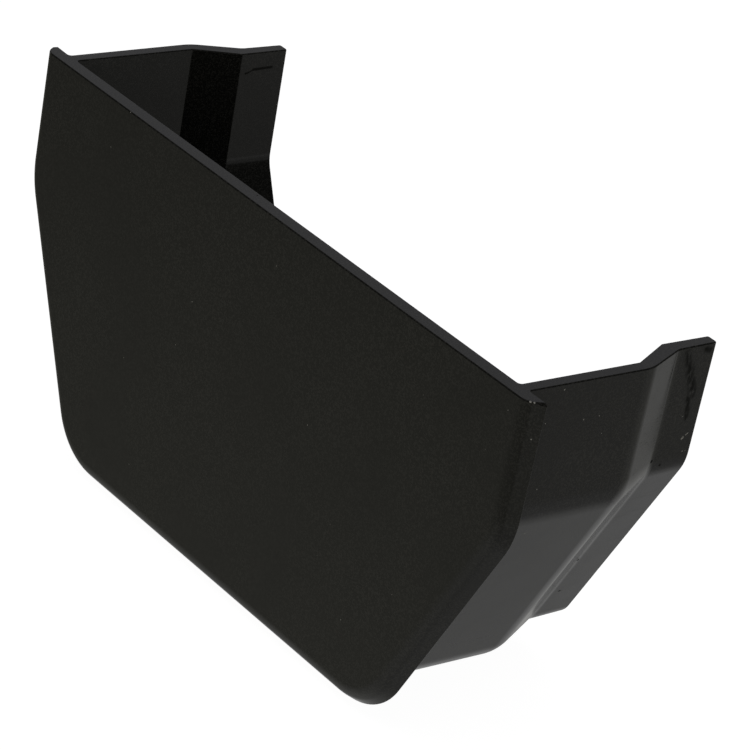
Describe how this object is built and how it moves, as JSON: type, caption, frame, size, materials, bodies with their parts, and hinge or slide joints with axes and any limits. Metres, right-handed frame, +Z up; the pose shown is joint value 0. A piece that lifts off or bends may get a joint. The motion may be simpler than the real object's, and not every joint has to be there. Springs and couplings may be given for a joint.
{
  "type": "gutter end cap",
  "caption": "Moulded black plastic end cap for a square-section rain gutter: flat flange, open U-shaped body, inward joggle and a smaller spigot that slides into the gutter.",
  "frame": {"origin": "middle of the open top, on the back of the flange, where the gutter's cut end butts", "axes": "+X to the right seen from the front, +Y along the gutter and into it, +Z up"},
  "size_m": [0.114, 0.0366, 0.0568],
  "materials": {
    "black_pvc": "gloss, lightly scuffed and dusty"
  },
  "bodies": {
    "root": {"end_cap": "black_pvc"}
  },
  "joints": []
}
